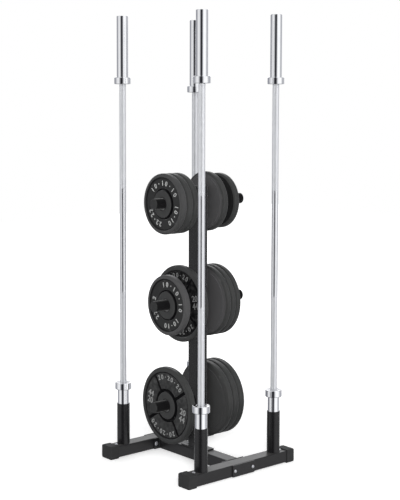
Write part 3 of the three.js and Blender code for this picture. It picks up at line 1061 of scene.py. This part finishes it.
@cache
def digits(number, size, base):
    """A raised number, centred on the origin, its top towards +Y."""
    curve = bpy.data.curves.new("digit", "FONT")
    curve.body = number
    curve.size = size
    curve.extrude = (MARK_RISE + MARK_ROOT) / 2
    curve.offset = size * MARK_BOLDNESS
    curve.align_x = "CENTER"
    curve.align_y = "CENTER"
    curve.resolution_u = 3
    holder = new_object("digit", curve)
    made = final_mesh(holder)
    low = min(vertex.co.y for vertex in made.vertices)
    high = max(vertex.co.y for vertex in made.vertices)
    lift = Vector((0, -(low + high) / 2, base + MARK_RISE / 2 - MARK_ROOT / 2))
    points = [vertex.co + lift for vertex in made.vertices]
    faces = [list(face.vertices) for face in made.polygons]
    bpy.data.objects.remove(holder)
    bpy.data.curves.remove(curve)
    bpy.data.meshes.remove(made)
    return points, faces


def on_ring(shape, radius, angle, upright=None):
    """A number moved to a place on a plate. Its top points outwards unless upright gives its lean."""
    lean = angle - pi / 2 if upright is None else upright
    move = Matrix.Translation((*on_circle(radius, angle), 0))
    return moved(shape, move @ Matrix.Rotation(lean, 4, "Z"))


def add_mark(body, shape, tone):
    """A painted mark on a plate. tone is how much painted shade darkens the paint."""
    body.add(shape, 1, [tone] * len(shape[0]))


def numbers_round(body, number, length, radius, centre, spacing, base, tone):
    """A number as often as it fits into a length, along an arc, read clockwise, with dashes between."""
    times = (length + 1) // (len(number) + 1)
    text = " ".join([number] * times)
    for index, character in enumerate(text):
        angle = radians(centre - (index - (len(text) - 1) / 2) * spacing)
        if character == " ":
            add_mark(body, dash(radius, angle, base), tone)
        else:
            add_mark(body, on_ring(digits(character, MARK_SIZE, base), radius, angle), tone)


def panel_marks(body, numbers, top, inner, outer, tilt, tone):
    """Two rows of numbers on two of the raised panels, and an arc of them on the other two."""
    for side in (90, -90):
        centre = side + degrees(tilt)
        numbers_round(body, numbers[0], ARC_LENGTH, outer - ARC_INSET, centre, ARC_SPACING, top, tone)
    for way, rows in ((1, numbers), (-1, numbers[::-1])):
        for step, number in zip((1, -1), rows):
            across = way * ((inner + outer) / 2 + ROW_SHIFT)
            up = step * ROW_DISTANCE
            angle = atan2(up, across) + tilt
            shape = digits(number, LARGE_MARK_SIZE, top)
            add_mark(body, on_ring(shape, hypot(across, up), angle, upright=tilt), tone)


def plate_body(name, radius, thickness, kind, tilt):
    """A plate lying along X from the origin, with its panels and its numbers."""
    panels = kind["panels"]
    web_tone = WEB_TONES.get(name, WEB_SHADE)
    mark_tone = MARK_TONES.get(name, web_tone)
    # Painted shade for the recess, the floor between panels and the numbers; painted light for the back
    # and rim, painted shade where a back tone is below 0
    floor_tone = PANEL_FLOOR if panels else web_tone
    tones = (-BACK_TONES.get(name, BACK_PAINTED_LIGHT), floor_tone, -RIM_TONES.get(name, 0.0))
    shape, painted_shading = plate_shape(radius, thickness, kind, tones)
    body = Body().add(shape, 0, painted_shading)
    web = thickness - kind["recess"]
    inner = kind["hub"] / 2 + (PANEL_START if panels else RING_START)
    outer = radius - kind["rim"] - PANEL_END
    if panels:
        for index in range(4):
            start = tilt + pi / 4 + index * pi / 2
            panel, painted_shading = sector_panel(inner, outer, start, start + pi / 2, web, web_tone)
            body.add(panel, 0, painted_shading)
        panel_marks(body, kind["numbers"], web + PANEL_RISE, inner, outer, tilt, mark_tone)
    else:
        for which, length, centre, spacing in RING_ARCS:
            ring = (inner + outer) / 2 + RING_SHIFT
            numbers_round(body, kind["numbers"][which], length, ring, centre, spacing, web, mark_tone)
    body.points = [AXIS_TURNS["x"] @ point for point in body.points]
    return body


# How far some plates are turned round their peg. The others are turned by chance
TILTS = {
    "top_left_plate_3": 0.0,
    "middle_left_plate_2": -0.62,
    "middle_left_plate_1": 0.17,
    "low_left_plate_1": -0.21,
}

# Painted light that greys the back of a plate, from 0 to 1, or below 0 painted shade that darkens it,
# where it differs
BACK_TONES = {
    "top_right_plate_1": 0.85,
    "top_right_plate_2": -0.7,
    "middle_right_plate_1": 1.0,
    "low_right_plate_1": 0.2,
}

# Painted shade in the recess, painted light on the rim and how dark the numbers are, where they differ
WEB_TONES = {"middle_left_plate_1": 0.95}
RIM_TONES = {"top_left_plate_3": 0.35, "middle_left_plate_2": 0.7}
MARK_TONES = {"low_left_plate_1": 0.75}


def build_plates():
    dice = random.Random(11)
    for name in sorted(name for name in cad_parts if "_plate_" in name):
        low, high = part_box(name)
        middle, size = centre_of(name)
        diameter = round(size.z / mm)
        kind = PLATE_KINDS[min(PLATE_KINDS, key=lambda known: abs(known - diameter))]
        back = low.x if middle.x > 0 else high.x
        tilt = TILTS.get(name, dice.uniform(-pi, pi))
        body = plate_body(name, size.z / 2, size.x, kind, tilt)
        turn = Matrix() if middle.x > 0 else Matrix.Rotation(pi, 4, "Z")
        if not kind["panels"]:
            turn = turn @ Matrix.Rotation(tilt, 4, "X")
        piece(f"{name}_casting", body, [iron, paint], [name], rides=f"{name}_body",
              place=(back, middle.y, middle.z), turn=turn, reflected=False)


# The floor, the light and the camera

# The camera's place and direction, its focal length and upward shift over the height of its picture
CAMERA_PLACE = (-3330.35 * mm, -3856.15 * mm, 1584.57 * mm)
CAMERA_AZIMUTH = -40.91
CAMERA_PITCH = 4.63
CAMERA_ROLL = 0.15
SENSOR = 36
PICTURE_HEIGHT = 500
FOCAL_PIXELS = 1186.07
SHIFT_PIXELS = -57

# The direction from the rack to the camera, from which the studio and the lamps are placed
CAMERA_SIDE = CAMERA_AZIMUTH - 90

# How much the floor glows for the camera, at two distances from the rack in metres
GLOW_DISTANCES = (0.6, 2.2)
GLOW_LEVELS = (0.45, 0.95)
FLOOR_REACH = 9.0
FLOOR_COLOUR = (0.86, 0.86, 0.86, 1)

# Brightness of the studio round the object, by angle from the camera's side, right positive
STUDIO = (
    (-180, 0.95), (-160, 0.55), (-140, 0.26), (-118, 0.34), (-95, 0.55), (-75, 0.86), (-52, 0.92),
    (-40, 0.62), (-28, 0.16), (-18, 0.02), (-2, 0.02), (6, 0.14), (15, 0.62), (27, 1.05), (60, 1.15),
    (76, 0.95), (90, 0.55), (110, 0.42), (130, 0.6), (160, 0.95), (180, 0.95),
)

# How that brightness changes with the height above the horizon
STUDIO_RISE = ((-90, 0.35), (-35, 0.45), (-20, 1.0), (38, 1.0), (48, 0.7), (57, 1.4), (70, 1.4), (82, 0.8))

# The tints of its bright and its dark parts, and the even light of the world
BRIGHT_FROM = 0.5
BRIGHT_TINT = (0.985, 0.99, 1.01)
DARK_TINT = (0.93, 0.95, 1.08)
WHITE = (1, 1, 1, 1)
SOFT_LIGHT = 0.4

# The height that the lamps are aimed at
AIM_HEIGHT = 0.8


def build_floor():
    corners = [(x * FLOOR_REACH, y * FLOOR_REACH, 0) for x, y in ((-1, -1), (1, -1), (1, 1), (-1, 1))]
    mesh = bpy.data.meshes.new("floor")
    mesh.from_pydata(corners, [], [(0, 1, 2, 3)])
    floor = new_object("floor", mesh)
    made = bpy.data.materials.new("pale_floor")
    tree = empty_tree(made)
    matt = node(tree, "BsdfDiffuse", {"Color": FLOOR_COLOUR})
    ray = node(tree, "LightPath")
    place = node(tree, "TexCoord").outputs["Object"]
    away = node(tree, "VectorMath", {0: place}, operation="LENGTH").outputs["Value"]
    level = between(tree, away, *GLOW_DISTANCES, *GLOW_LEVELS)
    seen = calc(tree, "MULTIPLY", ray.outputs["Is Camera Ray"], level)
    glow = node(tree, "Emission", {"Strength": seen})
    both = node(tree, "AddShader", {0: matt.outputs[0], 1: glow.outputs[0]})
    node(tree, "OutputMaterial", {"Surface": both.outputs[0]})
    mesh.materials.append(made)
    floor.visible_glossy = False


def studio_colours():
    """The stops of the studio's colours, once round."""
    stops = []
    for bearing, level in STUDIO:
        tint = BRIGHT_TINT if level > BRIGHT_FROM else DARK_TINT
        stops.append(((bearing + 180) / 360, tuple(level * part for part in tint)))
    return stops


def build_world():
    world = bpy.data.worlds.new("studio")
    bpy.context.scene.world = world
    tree = empty_tree(world)
    way = node(tree, "TexCoord").outputs["Generated"]
    spin = {"Vector": way, "Angle": -radians(CAMERA_SIDE)}
    spun = node(tree, "VectorRotate", spin, rotation_type="Z_AXIS").outputs["Vector"]
    x, y, z = parts(tree, spun)
    angle = calc(tree, "ARCTAN2", y, x)
    walls = ramp(tree, between(tree, angle, -pi, pi, 0, 1), studio_colours())
    rise = between(tree, calc(tree, "ARCSINE", z), -pi / 2, pi / 2, 0, 1)
    heights = ramp(tree, rise, [((height + 90) / 180, [level] * 3) for height, level in STUDIO_RISE])
    both = {"Factor": 1.0, 6: walls, 7: heights}
    walls = node(tree, "Mix", both, data_type="RGBA", blend_type="MULTIPLY").outputs[2]
    ray = node(tree, "LightPath").outputs
    reflected = node(tree, "Background", {"Color": walls}).outputs[0]
    soft = node(tree, "Background", {"Color": WHITE, "Strength": SOFT_LIGHT}).outputs[0]
    white = node(tree, "Background", {"Color": WHITE}).outputs[0]
    lit = node(tree, "MixShader", {0: ray["Is Glossy Ray"], 1: soft, 2: reflected}).outputs[0]
    clear = calc(tree, "MAXIMUM", ray["Is Camera Ray"], ray["Is Transmission Ray"])
    full = node(tree, "MixShader", {0: clear, 1: lit, 2: white}).outputs[0]
    node(tree, "OutputWorld", {"Surface": full})


def softbox(name, side, height, away, size, power, reflected):
    """A lamp at an angle from the camera's side, aimed at the middle of the rack."""
    lamp = bpy.data.lights.new(name, "AREA")
    lamp.shape = "RECTANGLE"
    lamp.size, lamp.size_y = size
    lamp.energy = power
    holder = new_object(name, lamp)
    angle = radians(CAMERA_SIDE + side)
    holder.location = (*on_circle(away, angle), height)
    aim = UP * AIM_HEIGHT - holder.location
    holder.rotation_euler = aim.to_track_quat("-Z", "Y").to_euler()
    holder.visible_glossy = reflected


def build_lamps():
    """Lamps, each with its angle, height, distance, size, power and whether it shows in reflections."""
    softbox("front_softbox", 2, 1.9, 5.0, (1.2, 1.2), 196, False)
    softbox("right_softbox", 62, 3.0, 3.8, (2.0, 2.4), 40, False)
    softbox("left_softbox", -70, 2.4, 3.8, (2.0, 2.4), 26, False)
    softbox("back_softbox", 180, 3.0, 4.4, (3.2, 1.4), 31, True)


def build_camera():
    view = bpy.data.cameras.new("photo_view")
    view.sensor_width = SENSOR
    view.lens = FOCAL_PIXELS * SENSOR / PICTURE_HEIGHT
    view.shift_y = SHIFT_PIXELS / PICTURE_HEIGHT
    view.clip_end = 100
    azimuth = radians(CAMERA_AZIMUTH)
    pitch = radians(CAMERA_PITCH)
    roll = radians(CAMERA_ROLL)
    level = Vector((cos(azimuth), sin(azimuth), 0))
    back = Vector((sin(azimuth) * cos(pitch), -cos(azimuth) * cos(pitch), sin(pitch)))
    upright = back.cross(level)
    right = level * cos(roll) + upright * sin(roll)
    up = upright * cos(roll) - level * sin(roll)
    holder = new_object("photo_view", view)
    turn = Matrix((right, up, back)).transposed().to_4x4()
    holder.matrix_world = Matrix.Translation(CAMERA_PLACE) @ turn
    bpy.context.scene.camera = holder


bpy.context.scene.view_settings.view_transform = "Standard"
build_camera()
build_world()
build_lamps()
build_floor()

SOFT_BLACK = ((0.0105, 0.0102, 0.0108), (0.0130, 0.0126, 0.0133))
DEEP_BLACK = ((0.0055, 0.0053, 0.0058), (0.0075, 0.0072, 0.0078))
coat = material("black_powder_coat", powder_coat, *SOFT_BLACK, 0.28, 0.33, 0.38)
glossy = material("glossy_powder_coat", powder_coat, *DEEP_BLACK, 0.24, 0.29, 0.38)
# The pegs' coat: a darker copy of the coat with almost no reflection, painted shade for the plates' shade
# round the pegs
shaded = material("painted_shade_powder_coat", powder_coat, *DEEP_BLACK, 0.40, 0.45, 0.02)
plastic = material("grained_black_plastic", cap_plastic)
bolt = material("bright_zinc_bolt", bolt_steel)
chrome = material("polished_chrome", polished_chrome)
shaft_metal = material("knurled_chrome_shaft", shaft_chrome)
iron = material("black_enamelled_cast_iron", cast_iron)
paint = material("pale_mark_paint", mark_paint)

build_rails()
build_crossbar()
build_clamp_plates()
build_foot_caps()
build_post()
build_bolts()
build_sockets()
build_pegs()
build_barbells()
build_plates()
